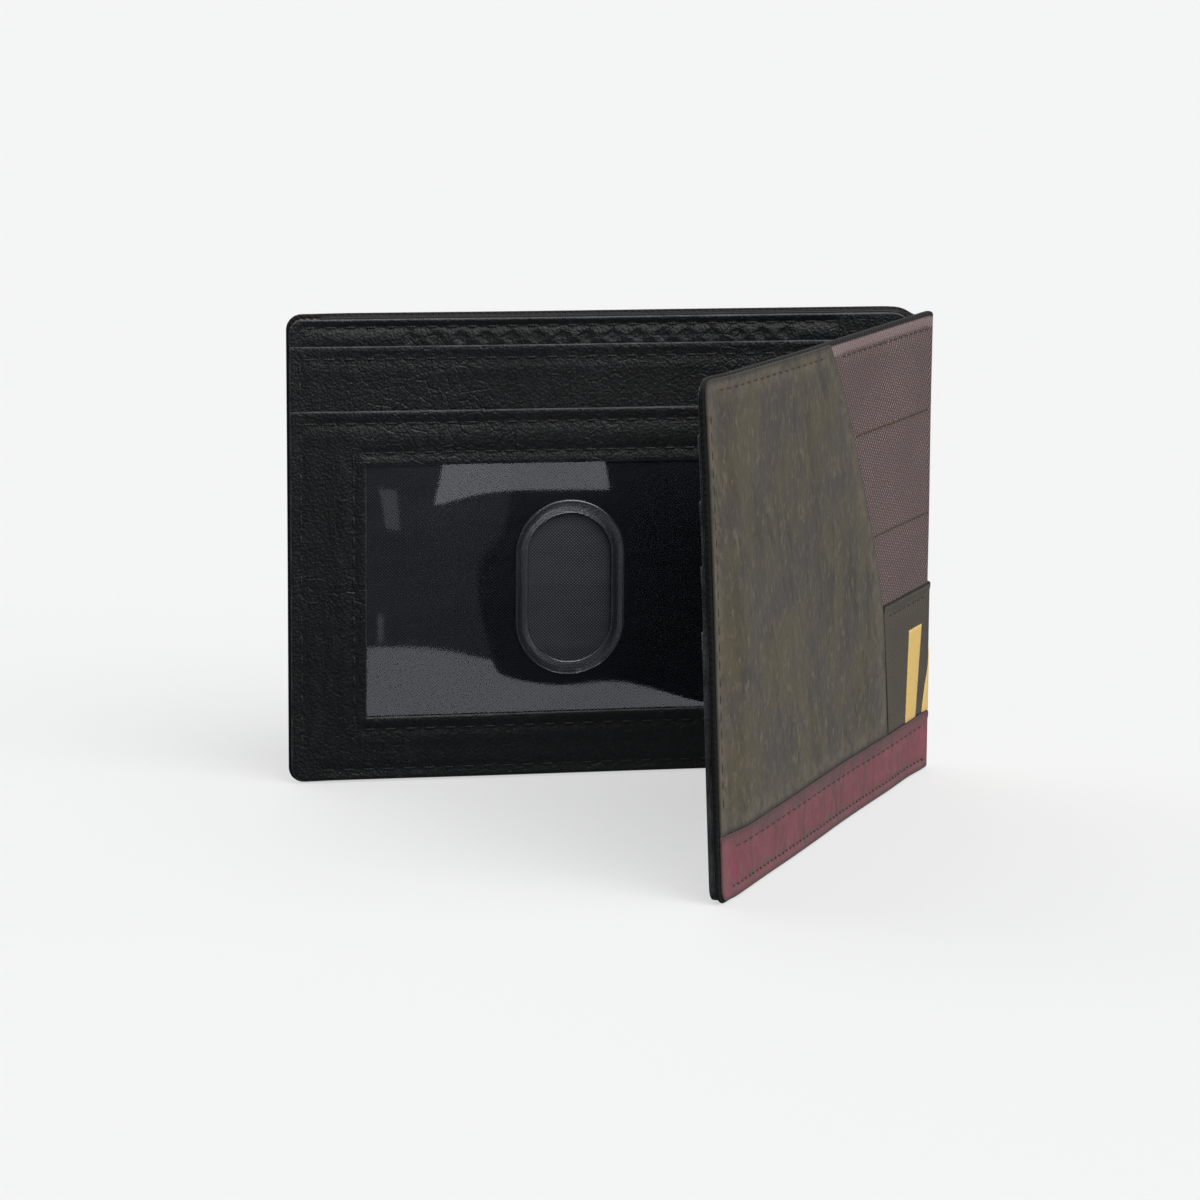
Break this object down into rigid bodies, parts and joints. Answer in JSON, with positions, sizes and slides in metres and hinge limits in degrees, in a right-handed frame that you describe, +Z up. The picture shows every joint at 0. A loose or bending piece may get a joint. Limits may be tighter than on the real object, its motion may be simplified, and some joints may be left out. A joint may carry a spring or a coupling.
{
  "type": "bifold wallet",
  "caption": "Bifold wallet standing part open: layered leather and twill cover, note compartment, stepped card slots and a clear window pocket with a thumb slot.",
  "frame": {"origin": "middle of the footprint on the plane that the wallet stands on", "axes": "+X along the back panel from its free edge to the fold, +Y from the back panel's pockets to its outer face, +Z up"},
  "size_m": [0.1174, 0.1036, 0.085],
  "materials": {
    "black_leather": "fine-grained semi-gloss",
    "black_lining": "plain woven",
    "black_mesh": "fine diagonal weave",
    "clear_vinyl": "clear, glossy",
    "black_thread": "twisted thread",
    "tan_thread": "couched thread",
    "mauve_twill": "twill weave",
    "olive_twill": "twill weave, darkened",
    "olive_leather": "distressed, matt",
    "burgundy_leather": "worn, satin",
    "gold_foil": "printed foil, satin"
  },
  "bodies": {
    "back_panel": {"back_cover": "mauve_twill", "back_compartment_lining": "black_lining", "back_divider": "black_leather", "card_slot_strip": "black_leather", "id_backing_fabric": "black_mesh", "id_window_film": "clear_vinyl", "id_pocket_frame": "black_leather", "window_stitches": "black_thread", "pocket_edge_stitches": "black_thread", "back_edge_stitches": "black_thread", "back_leather_overlay": "olive_leather", "back_twill_patch": "olive_twill", "back_band": "burgundy_leather", "back_outer_stitches": "black_thread"},
    "spine_rear": {"spine_rear_cover": "mauve_twill", "spine_rear_lining": "black_lining", "spine_rear_divider": "black_leather", "spine_rear_band": "burgundy_leather", "spine_rear_twill_patch": "olive_twill"},
    "spine_fore": {"spine_fore_cover": "mauve_twill", "spine_fore_lining": "black_lining", "spine_fore_divider": "black_leather", "spine_fore_band": "burgundy_leather", "spine_fore_twill_patch": "olive_twill", "spine_gold_bar": "gold_foil"},
    "front_panel": {"front_cover": "mauve_twill", "front_compartment_lining": "black_lining", "front_divider": "black_leather", "card_tier_1": "black_leather", "card_tier_2": "black_leather", "card_tier_3": "black_leather", "card_tier_4": "black_leather", "tier_stitches": "black_thread", "front_edge_stitches": "black_thread", "front_leather_overlay": "olive_leather", "front_twill_patch": "olive_twill", "front_gold_bar": "gold_foil", "front_seam_cords": "tan_thread", "front_band": "burgundy_leather", "front_outer_stitches": "black_thread"}
  },
  "joints": [
    {"name": "fold_rear", "type": "hinge", "parent": "back_panel", "child": "spine_rear", "pos_m": [0.0543, 0.05113, 0], "axis": [0, 0, -1], "range_deg": [-40.67, 19.33]},
    {"name": "fold_middle", "type": "hinge", "parent": "spine_rear", "child": "spine_fore", "pos_m": [0.05758, 0.0483, 0], "axis": [0, 0, -1], "range_deg": [-40.67, 19.33]},
    {"name": "fold_front", "type": "hinge", "parent": "spine_fore", "child": "front_panel", "pos_m": [0.05823, 0.04402, 0], "axis": [0, 0, -1], "range_deg": [-40.67, 19.33]}
  ],
  "couplings": [
    {"joint": "fold_middle", "follows": "fold_rear", "ratio": 1},
    {"joint": "fold_front", "follows": "fold_rear", "ratio": 1}
  ]
}
